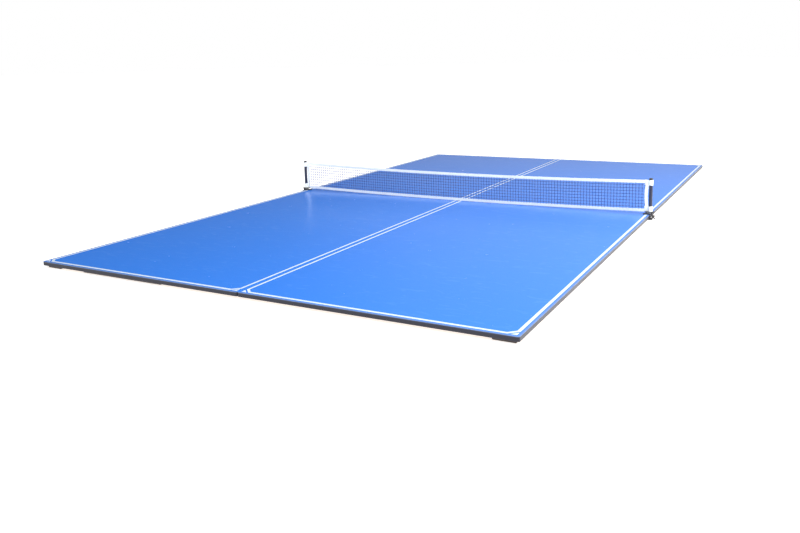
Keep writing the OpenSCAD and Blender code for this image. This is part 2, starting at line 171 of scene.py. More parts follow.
class Paint:
    """One procedural material on a Principled shader, with its patterns placed in metres."""

    def __init__(self, name, colour, roughness, **shader):
        self.material = bpy.data.materials.new(name)
        self.material.use_nodes = True
        self.tree = self.material.node_tree
        self.shader = self.tree.nodes["Principled BSDF"]
        self.colour = (*colour, 1.0)
        self.shader.inputs["Base Color"].default_value = self.colour
        self.shader.inputs["Roughness"].default_value = roughness
        for socket, value in shader.items():
            self.shader.inputs[socket.replace("_", " ")].default_value = value
        self.coordinates = self.add("ShaderNodeTexCoord").outputs["Object"]

    def add(self, kind, **values):
        """A new node of this kind, with these settings."""
        made = self.tree.nodes.new(kind)
        for name, value in values.items():
            setattr(made, name, value)
        return made

    def link(self, a, b):
        """Joins an output to an input."""
        self.tree.links.new(a, b)

    def stretched(self, scale):
        """The coordinates, scaled by a factor or by one factor for each axis."""
        mapping = self.add("ShaderNodeMapping")
        mapping.inputs["Scale"].default_value = scale if hasattr(scale, "__len__") else (scale,) * 3
        self.link(self.coordinates, mapping.inputs["Vector"])
        return mapping.outputs["Vector"]

    def noise(self, scale, detail, roughness=0.55, distortion=0.0):
        """Cloudy noise, 0 to 1, with this many features to a metre."""
        made = self.add("ShaderNodeTexNoise")
        made.inputs["Scale"].default_value = 1.0
        made.inputs["Detail"].default_value = detail
        made.inputs["Roughness"].default_value = roughness
        made.inputs["Distortion"].default_value = distortion
        self.link(self.stretched(scale), made.inputs["Vector"])
        return made.outputs["Fac"]

    def cells(self, scale):
        """Distance from the middle of the nearest of many scattered cells."""
        made = self.add("ShaderNodeTexVoronoi")
        made.inputs["Scale"].default_value = 1.0
        self.link(self.stretched(scale), made.inputs["Vector"])
        return made.outputs["Distance"]

    def wave(self, scale, direction, distortion=0.0):
        """Even bands that follow one another along the direction, 0 to 1."""
        made = self.add("ShaderNodeTexWave", bands_direction=direction)
        made.inputs["Scale"].default_value = 1.0
        made.inputs["Distortion"].default_value = distortion
        self.link(self.stretched(scale), made.inputs["Vector"])
        return made.outputs["Fac"]

    def ramp(self, value, *stops):
        """value through a colour ramp; each stop is (place, grey) or (place, colour)."""
        made = self.add("ShaderNodeValToRGB")
        elements = made.color_ramp.elements
        while len(elements) < len(stops):
            elements.new(0.5)
        for element, (place, colour) in zip(elements, stops):
            element.position = place
            element.color = (*colour, 1) if hasattr(colour, "__len__") else (colour,) * 3 + (1,)
        self.link(value, made.inputs["Fac"])
        return made.outputs["Color"]

    def math(self, operation, a, b=0.0):
        """A math node on two values or sockets."""
        made = self.add("ShaderNodeMath", operation=operation)
        for socket, value in zip(made.inputs, (a, b)):
            if isinstance(value, (int, float)):
                socket.default_value = value
            else:
                self.link(value, socket)
        return made.outputs["Value"]

    def tint(self, mask, colour, amount):
        """Lays this amount of a colour over the base colour where the mask is bright."""
        mix = self.add("ShaderNodeMix", data_type="RGBA")
        self.link(self.math("MULTIPLY", mask, amount), mix.inputs["Factor"])
        base = self.shader.inputs["Base Color"]
        if base.links:
            self.link(base.links[0].from_socket, mix.inputs["A"])
        else:
            mix.inputs["A"].default_value = self.colour
        mix.inputs["B"].default_value = (*colour, 1)
        self.link(mix.outputs["Result"], base)

    def rough(self, value, low, high):
        """Roughness between low and high as value goes from 0 to 1."""
        spread = self.add("ShaderNodeMapRange")
        spread.inputs["To Min"].default_value = low
        spread.inputs["To Max"].default_value = high
        self.link(value, spread.inputs["Value"])
        self.link(spread.outputs["Result"], self.shader.inputs["Roughness"])

    def bump(self, value, depth, strength):
        """Adds relief of this depth in metres on top of any before it."""
        made = self.add("ShaderNodeBump")
        made.inputs["Distance"].default_value = depth
        made.inputs["Strength"].default_value = strength
        self.link(value, made.inputs["Height"])
        normal = self.shader.inputs["Normal"]
        if normal.links:
            self.link(normal.links[0].from_socket, made.inputs["Normal"])
        self.link(made.outputs["Normal"], normal)

    def axis(self, name):
        """One of the coordinates, in metres."""
        split = self.add("ShaderNodeSeparateXYZ")
        self.link(self.coordinates, split.inputs["Vector"])
        return split.outputs[name]

    def near_value(self, value, centre, width):
        """1 where value is at centre, falling to 0 at width away."""
        away = self.math("ABSOLUTE", self.math("SUBTRACT", value, centre))
        spread = self.add("ShaderNodeMapRange")
        spread.inputs["From Max"].default_value = width
        spread.inputs["To Min"].default_value = 1.0
        spread.inputs["To Max"].default_value = 0.0
        self.link(away, spread.inputs["Value"])
        return spread.outputs["Result"]


# Linear colours
LACQUER_BLUE = (0.024, 0.208, 0.800)
INK_WHITE = (0.66, 0.78, 0.90)
EDGE_GREY = (0.014, 0.015, 0.026)
NYLON_BLACK = (0.018, 0.018, 0.022)
PAD_BROWN = (0.050, 0.036, 0.030)
STRIP_BROWN = (0.085, 0.052, 0.038)
TAPE_WHITE = (0.93, 0.97, 0.95)
THREAD_BLUE = (0.011, 0.056, 0.290)

# Widths of the painted highlights: the surface's paler rim, the edge band's paler rims, and the bluish line at the
# band's top
SURFACE_HIGHLIGHT_RIM = 0.0075
BAND_HIGHLIGHT_RIM = 0.0011
BAND_HIGHLIGHT_LINE = 0.0018


def blue_lacquer():
    """Satin blue surface: fine orange peel, faint mottling, soft ball marks and a paler rim painted as a
    highlight.
    """
    p = Paint("blue_lacquer", LACQUER_BLUE, 0.3, Specular_IOR_Level=0.42)
    p.tint(p.ramp(p.noise(1.6, 3), (0.3, 0.0), (0.8, 1.0)), (0.030, 0.222, 0.830), amount=0.3)
    p.tint(p.ramp(p.noise(620, 2), (0.45, 0.0), (0.8, 1.0)), (0.016, 0.160, 0.690), amount=0.6)
    scuffs = p.ramp(p.noise((14, 45, 14), 3, 0.55, 1.5), (0.57, 0.0), (0.66, 1.0))
    p.tint(scuffs, (0.060, 0.262, 0.830), amount=0.3)
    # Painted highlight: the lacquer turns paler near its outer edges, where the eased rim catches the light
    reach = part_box("far_right_surface")[1]
    rim = p.math(
        "MAXIMUM",
        p.near_value(p.math("ABSOLUTE", p.axis("X")), reach.x, SURFACE_HIGHLIGHT_RIM),
        p.near_value(p.math("ABSOLUTE", p.axis("Y")), reach.y, SURFACE_HIGHLIGHT_RIM),
    )
    p.tint(p.ramp(rim, (0.15, 0.0), (0.45, 1.0)), (0.20, 0.26, 0.32), amount=0.45)
    p.rough(p.noise(40, 4), 0.23, 0.29)
    p.bump(p.noise(900, 2), 0.00003, 0.5)
    p.bump(p.noise(160, 2), 0.00003, 0.35)
    return p.material


def white_ink():
    """Screen-printed white line: slightly uneven ink with a few pinholes."""
    p = Paint("white_ink", INK_WHITE, 0.38, Coat_Weight=0.2, Coat_Roughness=0.2)
    p.tint(p.ramp(p.noise(60, 4), (0.4, 0.0), (0.8, 1.0)), (0.74, 0.81, 0.90), amount=0.5)
    p.tint(p.ramp(p.cells(500), (0.0, 1.0), (0.10, 0.0)), (0.35, 0.48, 0.80), amount=0.35)
    p.rough(p.noise(90, 3), 0.32, 0.46)
    p.bump(p.noise(700, 3), 0.00003, 0.6)
    return p.material


def edge_plastic():
    """Dark edge band: drawn lines along its length, paler rims and a bluish line at its top painted as highlights,
    and nicks here and there.
    """
    z_low, z_high = (corner.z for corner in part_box("near_left_edge_band"))
    p = Paint("edge_plastic", EDGE_GREY, 0.36, Specular_IOR_Level=0.28)
    p.tint(p.noise((6, 6, 1400), 3), (0.022, 0.022, 0.032), amount=0.7)
    # Painted highlights: the band is paler along its top and bottom rims, broken up by noise
    rims = p.math(
        "MAXIMUM",
        p.near_value(p.axis("Z"), z_low, BAND_HIGHLIGHT_RIM),
        p.near_value(p.axis("Z"), z_high, BAND_HIGHLIGHT_RIM),
    )
    p.tint(p.math("MULTIPLY", rims, p.noise(70, 5)), (0.13, 0.13, 0.16), amount=0.8)
    nicks = p.ramp(p.cells((26, 26, 200)), (0.0, 1.0), (0.07, 0.0))
    p.tint(nicks, (0.20, 0.19, 0.20), amount=0.35)
    # Painted highlight: a bluish line along the band's top edge
    p.tint(p.near_value(p.axis("Z"), z_high, BAND_HIGHLIGHT_LINE), (0.16, 0.20, 0.34), amount=0.7)
    p.rough(p.noise((20, 20, 900), 4), 0.30, 0.48)
    p.bump(p.noise((10, 10, 2200), 2), 0.00005, 0.5)
    p.bump(nicks, -0.0002, 0.4)
    return p.material


def fibreboard():
    """Raw fibreboard: pressed fibres in several browns, with a sealed, darker skin."""
    p = Paint("fibreboard", (0.36, 0.235, 0.135), 0.72, Specular_IOR_Level=0.3)
    p.tint(p.noise((240, 900, 240), 5, 0.7), (0.52, 0.37, 0.235), amount=0.7)
    p.tint(p.ramp(p.noise((900, 260, 900), 4), (0.45, 0.0), (0.7, 1.0)), (0.20, 0.12, 0.07), amount=0.6)
    p.tint(p.ramp(p.noise(3.5, 4), (0.35, 0.0), (0.7, 1.0)), (0.27, 0.17, 0.10), amount=0.4)
    p.rough(p.noise(120, 4), 0.62, 0.82)
    p.bump(p.noise((500, 1100, 500), 4), 0.00015, 0.6)
    return p.material


def foam(name, colour):
    """Closed-cell foam: small cells whose pits are darkened as painted shade, dusty on the high spots."""
    p = Paint(name, colour, 0.88, Sheen_Weight=0.25, Sheen_Roughness=0.6, Specular_IOR_Level=0.25)
    cells = p.cells(950)
    # Painted shade: darker in the pit of each cell, where the bump from the same cells sinks in
    p.tint(p.ramp(cells, (0.15, 1.0), (0.45, 0.0)), tuple(0.45 * c for c in colour), amount=0.8)
    p.tint(p.ramp(p.noise(40, 4), (0.45, 0.0), (0.75, 1.0)), tuple(2.0 * c for c in colour), amount=0.5)
    p.rough(p.noise(200, 3), 0.78, 0.96)
    p.bump(cells, 0.0004, 0.7)
    p.bump(p.noise(2600, 2), 0.0001, 0.4)
    return p.material


def moulded_nylon():
    """Black moulded nylon: spark-eroded grain, slightly greyed where it is handled."""
    p = Paint("moulded_nylon", NYLON_BLACK, 0.46, IOR=1.53)
    p.tint(p.ramp(p.noise(90, 5, 0.65), (0.5, 0.0), (0.75, 1.0)), (0.060, 0.060, 0.066), amount=0.6)
    p.tint(p.noise(1500, 3), (0.032, 0.032, 0.037), amount=0.6)
    p.rough(p.noise(260, 4), 0.36, 0.58)
    p.bump(p.cells(2600), 0.00008, 0.5)
    p.bump(p.noise(420, 3), 0.00006, 0.4)
    return p.material


def grip_rubber():
    """Matt black rubber, dusted grey where it rubs."""
    p = Paint("grip_rubber", (0.016, 0.016, 0.016), 0.8, Specular_IOR_Level=0.35)
    p.tint(p.ramp(p.noise(210, 5, 0.7), (0.5, 0.0), (0.72, 1.0)), (0.070, 0.066, 0.062), amount=0.6)
    p.rough(p.noise(500, 3), 0.68, 0.92)
    p.bump(p.noise(2400, 3), 0.0001, 0.5)
    return p.material


def zinc_plate():
    """Zinc-plated steel: fine turning lines, cloudy passivation, a little grime."""
    p = Paint("zinc_plate", (0.60, 0.60, 0.62), 0.32, Metallic=1.0)
    p.tint(p.noise(160, 5, 0.6), (0.74, 0.72, 0.66), amount=0.5)
    p.tint(p.ramp(p.noise(420, 5), (0.55, 0.0), (0.75, 1.0)), (0.24, 0.23, 0.22), amount=0.5)
    p.rough(p.noise(600, 4), 0.22, 0.45)
    p.bump(p.noise((300, 5200, 300), 2), 0.00003, 0.5)
    return p.material


def spring_wire():
    """Drawn spring steel: dark, oiled, with lines along the wire."""
    p = Paint("spring_wire", (0.34, 0.33, 0.34), 0.28, Metallic=1.0)
    p.tint(p.ramp(p.noise(700, 4), (0.45, 0.0), (0.7, 1.0)), (0.18, 0.15, 0.13), amount=0.6)
    p.rough(p.noise(900, 3), 0.2, 0.4)
    p.bump(p.noise((4200, 700, 4200), 2), 0.00002, 0.5)
    return p.material


def powder_coat():
    """Dark powder coat on the posts: orange peel, with rubbed bands where the sleeves turn."""
    p = Paint("powder_coat", (0.020, 0.024, 0.048), 0.34, Specular_IOR_Level=0.4)
    p.tint(p.noise(140, 4), (0.032, 0.038, 0.078), amount=0.6)
    rubbed = p.ramp(p.noise((60, 60, 420), 5, 0.7), (0.56, 0.0), (0.70, 1.0))
    p.tint(rubbed, (0.09, 0.09, 0.11), amount=0.3)
    p.rough(p.noise(300, 4), 0.26, 0.44)
    p.bump(p.noise(850, 2), 0.00008, 0.5)
    return p.material


def cap_plastic():
    """Black moulded cap plastic with a faint grain."""
    p = Paint("cap_plastic", (0.020, 0.020, 0.022), 0.4, IOR=1.5)
    p.tint(p.ramp(p.noise(180, 5, 0.65), (0.5, 0.0), (0.72, 1.0)), (0.055, 0.055, 0.060), amount=0.6)
    p.rough(p.noise(500, 3), 0.3, 0.5)
    p.bump(p.noise(1800, 3), 0.00005, 0.5)
    return p.material


def netting_thread():
    """Dark blue nylon twine with the ridges of its twist."""
    p = Paint("netting_thread", THREAD_BLUE, 0.55, Sheen_Weight=0.2, Sheen_Roughness=0.4)
    p.tint(p.noise(900, 3), (0.016, 0.052, 0.250), amount=0.6)
    p.rough(p.noise(1200, 3), 0.45, 0.68)
    p.bump(p.wave((900, 900, 900), "DIAGONAL"), 0.0001, 0.6)
    return p.material


def woven_tape():
    """White woven polyester tape: over-and-under weave with painted shade between its threads, a soft sheen and a
    little soiling.
    """
    p = Paint("woven_tape", TAPE_WHITE, 0.72, Sheen_Weight=0.35, Sheen_Roughness=0.45,
              Specular_IOR_Level=0.35)
    weave = p.math("MULTIPLY", p.wave((420, 1, 1), "X"), p.wave((1, 1, 420), "Z"))
    # Painted shade: greyer where the weave sinks between its threads
    p.tint(p.ramp(weave, (0.0, 1.0), (0.35, 0.0)), (0.80, 0.84, 0.88), amount=0.4)
    p.tint(p.ramp(p.noise(26, 5, 0.65), (0.52, 0.0), (0.8, 1.0)), (0.80, 0.81, 0.82), amount=0.4)
    p.rough(p.noise(300, 3), 0.64, 0.82)
    p.bump(weave, 0.00012, 0.6)
    p.bump(p.noise(2400, 2), 0.00005, 0.4)
    return p.material


def sewing_thread():
    """Pale twisted sewing thread."""
    p = Paint("sewing_thread", (0.78, 0.81, 0.86), 0.6, Sheen_Weight=0.3, Sheen_Roughness=0.4)
    p.tint(p.noise(1500, 3), (0.60, 0.63, 0.70), amount=0.6)
    p.rough(p.noise(1800, 2), 0.5, 0.7)
    p.bump(p.wave((2600, 1, 2600), "DIAGONAL"), 0.00005, 0.6)
    return p.material


def hardwood():
    """Beech for the dowels and tongues: long grain along Y with short dark flecks."""
    p = Paint("hardwood", (0.56, 0.36, 0.20), 0.55)
    p.tint(p.wave((160, 6, 160), "X", 5.0), (0.42, 0.25, 0.13), amount=0.5)
    p.tint(p.ramp(p.noise((900, 60, 900), 3), (0.60, 0.0), (0.72, 1.0)), (0.25, 0.14, 0.07), amount=0.6)
    p.rough(p.noise((300, 20, 300), 4), 0.45, 0.68)
    p.bump(p.noise((1400, 40, 1400), 3), 0.0001, 0.5)
    return p.material


def turned_brass():
    """Turned brass with fine tool lines round its axis."""
    p = Paint("turned_brass", (0.78, 0.55, 0.22), 0.28, Metallic=1.0)
    p.tint(p.noise(240, 5), (0.55, 0.36, 0.14), amount=0.5)
    p.rough(p.noise(700, 3), 0.2, 0.42)
    p.bump(p.wave((1, 3200, 1), "Y"), 0.00003, 0.5)
    return p.material


MATERIALS = {
    "playing_surface": blue_lacquer(),
    "white_line": white_ink(),
    "edge_band": edge_plastic(),
    "mdf_core": fibreboard(),
    "foam_pad": foam("pad_foam", PAD_BROWN),
    "foam_strip": foam("strip_foam", STRIP_BROWN),
    "clamp": moulded_nylon(),
    "grip_rubber": grip_rubber(),
    "steel": zinc_plate(),
    "spring_steel": spring_wire(),
    "post": powder_coat(),
    "cap": cap_plastic(),
    "net_mesh": netting_thread(),
    "net_tape": woven_tape(),
    "dowel": hardwood(),
    "tongue": hardwood(),
    "bush": turned_brass(),
}
THREAD = sewing_thread()


def dress_cad_nodes():
    """Every CAD node gets the material of its slot."""
    for row in frame["record"]["subparts"]:
        node = NODES[row["node"]]
        node.data.materials.clear()
        node.data.materials.append(MATERIALS[row["material_slot"]])


def soften(node, width):
    """Rounds a CAD node's sharp edges a little, as moulding or cutting leaves them."""
    bevel = NODES[node].modifiers.new("edges", "BEVEL")
    bevel.width = width
    bevel.segments = 2
    bevel.limit_method = "ANGLE"
    bevel.angle_limit = math.radians(40)


def finish_piece(piece, body, slot, *nodes):
    """A new piece rides on its body and stands for its CAD nodes."""
    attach(piece, body)
    if nodes:
        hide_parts(*nodes)
    return piece


# ---------- the boards ----------

def playing_surface(quarter):
    """The blue layer: a flat sheet whose upper rim is eased, so that it catches the light."""
    low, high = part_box(f"{quarter}_surface")
    corner = 0.005
    ease = 0.0004
    build = Build()
    # (inset, height) from the underside to the top
    levels = [(0.00015, low.z), (0.0, low.z + 0.00012), (0.0, high.z - ease)]
    for k in range(1, 4):
        a = math.radians(30 * k)
        levels.append((ease * (1 - math.cos(a)), high.z - ease + ease * math.sin(a)))
    levels.append((3 * ease, high.z))
    rings = [
        [Vector((x, y, z)) for x, y in rounded_outline(low, high, corner, inset)]
        for inset, z in levels
    ]
    build.loft(rings)
    piece = crease(build.piece(f"{quarter}_playing_surface", MATERIALS["playing_surface"]), 50)
    return finish_piece(piece, f"{quarter}_quarter", "playing_surface", f"{quarter}_surface")


def foam_block(build, low, high, corner, skew):
    """A foam block: glued flat at the top, its sides bulge a little and its lower rim is worn round."""
    height = high[2] - low[2]
    rim = 0.0012
    wear = 0.00025
    # (inset, rise) from the underside, round the lower rim and up the side, to the glued top
    profile = [(0.0045, 0.0), (0.0022, 0.0), (rim, 0.0), (0.0004, 0.0003), (0.0, rim)]
    profile += [(0.0001, 0.35 * height), (0.0, 0.55 * height), (0.0004, 0.8 * height)]
    profile += [(0.0006, height - 0.0004), (0.0009, height - 0.00005), (0.003, height - 0.00005)]
    rings = []
    for inset, rise in profile:
        ring = []
        for x, y in rounded_outline(low, high, corner, inset, 4):
            worn = wear * (1 + wobble(60 * x, 60 * y, skew + 90 * rise))
            out = Vector((x - (low[0] + high[0]) / 2, y - (low[1] + high[1]) / 2, 0)).normalized()
            ring.append(Vector((x, y, low[2] + rise)) - out * worn * (0 < rise < height * 0.98))
        rings.append(ring)
    build.loft(rings)


def blocks_of(node):
    """The boxes of a CAD node's separate blocks, found from its loose pieces."""
    data = NODES[node].data
    parent = list(range(len(data.vertices)))

    def top(i):
        """The first vertex of the block that vertex i belongs to."""
        while parent[i] != i:
            parent[i] = parent[parent[i]]
            i = parent[i]
        return i

    first = {}
    for v in data.vertices:
        key = tuple(round(c, 6) for c in v.co)
        parent[top(v.index)] = top(first.setdefault(key, v.index))
    for edge in data.edges:
        parent[top(edge.vertices[0])] = top(edge.vertices[1])
    groups = {}
    for v in data.vertices:
        groups.setdefault(top(v.index), []).append(v.co)
    boxes = []
    for points in groups.values():
        low = tuple(min(p[i] for p in points) for i in range(3))
        high = tuple(max(p[i] for p in points) for i in range(3))
        boxes.append((low, high))
    return sorted(boxes)


def foam_pieces(quarter, node, name, slot):
    """One piece for all the foam blocks of a CAD node, each worn in its own way."""
    corner = 0.003
    build = Build()
    for count, (low, high) in enumerate(blocks_of(f"{quarter}_{node}")):
        foam_block(build, low, high, corner, 7.3 * count + len(quarter))
    piece = crease(build.piece(f"{quarter}_{name}", MATERIALS[slot]), 50)
    finish_piece(piece, f"{quarter}_quarter", slot, f"{quarter}_{node}")
    return piece


# ---------- the net ----------

# Widths of the folded tapes, the thickness of one layer, and how far the netting is tucked into them
TAPE_H = 0.011
SIDE_W = 0.0113
TAPE_WALL = 0.00045
TUCK = 0.004

# The netting's squares and strands
NET_PITCH = 0.0112
THREAD_R = 0.0009
KNOT_R = THREAD_R * 1.5
THREAD_SIDES = 5

# How far the cloth stands off its plane, and how far a knot strays from its place along X, Y and Z
CLOTH_DRIFT = 0.00025
KNOT_DRIFT = (0.0007, 0.0006, 0.0006)

# The stitches' thread, length and pitch, and how far a seam is from its tape's open edge
STITCH_R = 0.00022
STITCH_LENGTH = 0.003
STITCH_PITCH = 0.004
SEAM_INSET = 0.0016

TOP_LOW, TOP_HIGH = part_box("net_top_tape")
FOOT_LOW, FOOT_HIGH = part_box("net_bottom_tape")
NET_HALF = TOP_HIGH.x
HALF_T = TOP_HIGH.y
SAG = (TOP_HIGH.z - TOP_LOW.z) - TAPE_H
RISE = (FOOT_HIGH.z - FOOT_LOW.z) - TAPE_H
X_AXIS = Vector((1, 0, 0))
Y_AXIS = Vector((0, 1, 0))
Z_AXIS = Vector((0, 0, 1))


def top_edge(x):
    """Height of the net's upper edge."""
    return TOP_HIGH.z - SAG * (1 - (x / NET_HALF) ** 2)


def foot_edge(x):
    """Height of the net's lower edge."""
    return FOOT_LOW.z + RISE * (x / NET_HALF) ** 2


def drift(x, z):
    """How far the cloth stands off the net's plane."""
    return CLOTH_DRIFT * wobble(9 * x, 3.1, 20 * z)


def folded_tape(name, stations, place, width, nodes):
    """A tape folded double over the netting: place(s, across, out) gives a point of it.
    across runs from the fold, 0, to the open edge, 1; out is the distance from the net's plane."""
    outer = HALF_T
    inner = HALF_T - TAPE_WALL
    turn = outer * 0.9
    # (across, out) from the fold along the outer face, then back along the inner face
    profile = [(turn / width * (1 - math.cos(a)), outer * math.sin(a) ** 0.9)
               for a in (math.radians(90 * k / 4) for k in range(5))]
    profile += [(0.5, outer), (0.92, outer), (1.0, outer - 0.00008), (1.0, inner), (0.5, inner)]
    profile += [((turn + TAPE_WALL) / width, inner * 0.8), ((turn * 0.75 + TAPE_WALL) / width, 0.0)]
    mirrored = [(a, -o) for a, o in reversed(profile[1:-1])]
    build = Build()
    build.loft([[place(s, a, o) for a, o in profile + mirrored] for s in stations])
    piece = crease(build.piece(name, MATERIALS["net_tape"]), 60)
    finish_piece(piece, "net", "net_tape", *nodes)
    return piece


def span(low, high, steps):
    """Even steps from low to high."""
    return [low + (high - low) * i / steps for i in range(steps + 1)]


def pucker(s):
    """The slight gathering that a line of stitches leaves in a tape."""
    return 0.00006 * math.sin(2 * math.pi * s / 0.008)


def top_tape():
    """The tape along the net's top, which sags between the posts."""
    def place(x, across, out):
        """A point at x along the tape."""
        z = top_edge(x) - across * TAPE_H + pucker(x)
        return Vector((x, out + drift(x, z), z))

    return folded_tape("top_tape", span(-NET_HALF, NET_HALF, 260), place, TAPE_H,
                       ["net_top_tape"])


def bottom_tape():
    """The tape along the net's foot, which bows up between the posts."""
    def place(x, across, out):
        """A point at x along the tape."""
        z = foot_edge(x) + across * TAPE_H + abs(pucker(x))
        return Vector((x, out + drift(x, z), z))

    return folded_tape("bottom_tape", span(-NET_HALF, NET_HALF, 260), place, TAPE_H,
                       ["net_bottom_tape"])


def side_shape(side):
    """A side tape's lowest and highest point, its inner edge at the ends, and its bow."""
    low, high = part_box(f"{side}_side_tape")
    inner = min(abs(low.x), abs(high.x))
    bow = (high.x - low.x) - SIDE_W
    return low.z, high.z, inner + bow, bow


def side_inner(side, z):
    """How far from the net's middle the bowed inner edge of a side tape is at this height."""
    low, high, end, bow = side_shape(side)
    t = max(-1.0, min(1.0, (2 * z - high - low) / (high - low)))
    return end - bow * (1 - t * t)


def side_tape(side):
    """The tape down one end of the net, bowed in at mid height."""
    sign = SIDES[side]
    low, high = side_shape(side)[:2]

    def place(z, across, out):
        """A point at height z on the tape."""
        x = side_inner(side, z) + SIDE_W * (1 - across)
        return Vector((sign * x, sign * out + drift(x, z), z))

    return folded_tape(f"{side}_end_tape", span(low, high, 30), place, SIDE_W,
                       [f"{side}_side_tape"])


def sleeve_line(tail_x, post_x, loop_r, wall):
    """The sleeve's line from above: a tail, a curve to the post, the turn round it, and the same back."""
    leave = math.radians(152)
    tail_length = 0.0062
    tail = [(tail_x + t * tail_length, HALF_T - wall / 2) for t in (0.0, 0.3, 0.6, 0.9)]
    start = Vector(tail[-1])
    finish = Vector((post_x + loop_r * math.cos(leave), loop_r * math.sin(leave)))
    reach = (finish - start).length * 0.45
    pull = Vector((start.x + reach, start.y))
    lean = finish - reach * Vector((math.sin(leave), -math.cos(leave)))
    bend = []
    for k in range(1, 8):
        t = k / 8
        bend.append(tuple((1 - t) ** 3 * start + 3 * t * (1 - t) ** 2 * pull
                          + 3 * t * t * (1 - t) * lean + t ** 3 * finish))
    turn = [(post_x + loop_r * math.cos(a), loop_r * math.sin(a))
            for a in (leave - 2 * leave * k / 40 for k in range(41))]
    back = [(x, -y) for x, y in reversed(tail + bend)]
    return [Vector(p) for p in tail + bend + turn + back]


def sleeve(side, end):
    """A tape loop that goes round the post, its two tails sewn together over the net's corner."""
    sign = SIDES[side]
    node = f"{side}_{end}_sleeve"
    low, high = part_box(node)
    post_low, post_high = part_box(f"{side}_post")
    post_x = abs(post_low.x + post_high.x) / 2
    outer_r = max(abs(low.x), abs(high.x)) - post_x
    tail_x = min(abs(low.x), abs(high.x))
    wall = 0.0008
    line = sleeve_line(tail_x, post_x, outer_r - wall / 2, wall)
    height = high.z - low.z
    rim = 0.0003
    # (share of the thickness, rise) round the tape's section
    profile = [(-0.5, rim), (-0.35, 0.0), (0.35, 0.0), (0.5, rim), (0.5, height * 0.5),
               (0.5, height - rim), (0.35, height), (-0.35, height), (-0.5, height - rim),
               (-0.5, height * 0.5)]
    rings = []
    for i, p in enumerate(line):
        ahead = (line[min(i + 1, len(line) - 1)] - line[max(i - 1, 0)]).normalized()
        n = Vector((-ahead.y, ahead.x))
        rings.append([
            Vector((sign * (p.x + n.x * wall * across), p.y + n.y * wall * across, low.z + rise))
            for across, rise in profile
        ])
    build = Build()
    build.loft(rings)
    piece = crease(build.piece(f"{side}_{end}_post_sleeve", MATERIALS["net_tape"]), 60)
    finish_piece(piece, "net", "net_tape", node)
    return piece


def knot_grid(columns, rows):
    """Columns of knots from foot to top, each a little off its place but at the tapes."""
    grid = []
    for i in range(columns + 1):
        x = -NET_HALF - TUCK / 2 + (2 * NET_HALF + TUCK) * i / columns
        low = foot_edge(x) + TAPE_H - TUCK
        high = top_edge(x) - TAPE_H + TUCK
        column = []
        for j in range(rows + 1):
            z = low + (high - low) * j / rows
            loose = math.sin(math.pi * j / rows) * math.sin(math.pi * i / columns) ** 0.25
            column.append(Vector((
                x + loose * KNOT_DRIFT[0] * wobble(37 * x, 5, 31 * z),
                drift(x, z) + loose * KNOT_DRIFT[1] * wobble(3.3 * x, 9, 14 * z),
                z + loose * KNOT_DRIFT[2] * wobble(41 * x, 17, 29 * z),
            )))
        grid.append(column)
    return grid


def knot(build, place):
    """A small eight-sided knot."""
    start = len(build.points)
    build.points += [place + KNOT_R * axis * s for axis in (X_AXIS, Y_AXIS, Z_AXIS) for s in (1, -1)]
    right, left, back, front, above, below = range(start, start + 6)
    for peak, ring in ((above, (right, back, left, front)), (below, (back, right, front, left))):
        for k in range(4):
            build.faces.append((ring[k], ring[(k + 1) % 4], peak))


def netting():
    """Square netting: upright and level strands that meet in small knots."""
    columns = round(2 * NET_HALF / NET_PITCH)
    rows = round((top_edge(0) - foot_edge(0) - 2 * (TAPE_H - TUCK)) / NET_PITCH)
    grid = knot_grid(columns, rows)
    build = Build()
    for column in grid:
        build.tube(column, THREAD_R, X_AXIS, Y_AXIS, THREAD_SIDES)
    for j in range(rows + 1):
        build.tube([column[j] for column in grid], THREAD_R, Y_AXIS, Z_AXIS, THREAD_SIDES)
    for column in grid[1:-1]:
        for place in column[1:-1]:
            knot(build, place)
    piece = build.piece("netting", MATERIALS["net_mesh"])
    finish_piece(piece, "net", "net_mesh", "net_mesh")
    # Every upright strand counts as long as the one half a metre out
    return piece


def stitch(build, at, along, face):
    """One stitch on a face of the net: a short thread that stands off the cloth and dips at both ends."""
    out = Vector((0, face, 0))
    side = along.cross(out).normalized()
    rings = []
    for t, size in ((-0.5, 0.5), (-0.36, 0.9), (0.0, 1.0), (0.36, 0.9), (0.5, 0.5)):
        lift = out * STITCH_R * (1.1 * (1 - (2 * t) ** 4) - 0.4)
        centre = at + along * (t * STITCH_LENGTH) + lift
        rings.append([
            centre + STITCH_R * size * (math.cos(a) * side + math.sin(a) * out)
            for a in (2 * math.pi * k / THREAD_SIDES for k in range(THREAD_SIDES))
        ])
    build.loft(rings)


def long_seams(build):
    """The rows along the open edges of the top and bottom tapes."""
    for i in range(int(2 * (NET_HALF - STITCH_PITCH / 2) / STITCH_PITCH)):
        x = -NET_HALF + STITCH_PITCH * (1 + i)
        for z, slope in ((top_edge(x) - TAPE_H + SEAM_INSET, 2 * SAG * x / NET_HALF ** 2),
                         (foot_edge(x) + TAPE_H - SEAM_INSET, 2 * RISE * x / NET_HALF ** 2)):
            along = Vector((1, 0, slope)).normalized()
            for face in (-1, 1):
                stitch(build, Vector((x, drift(x, z) + face * HALF_T, z)), along, face)


def end_seam(build, side):
    """The row down the open edge of a side tape."""
    sign = SIDES[side]
    low, high = side_shape(side)[:2]
    step = 0.001
    for i in range(int((high - low - STITCH_PITCH) / STITCH_PITCH)):
        z = low + STITCH_PITCH * (1 + i)
        ahead = side_inner(side, z + step) - side_inner(side, z)
        along = Vector((sign * ahead, 0, step)).normalized()
        x = side_inner(side, z) + SEAM_INSET
        for face in (-1, 1):
            stitch(build, Vector((sign * x, drift(x, z) + face * HALF_T, z)), along, face)


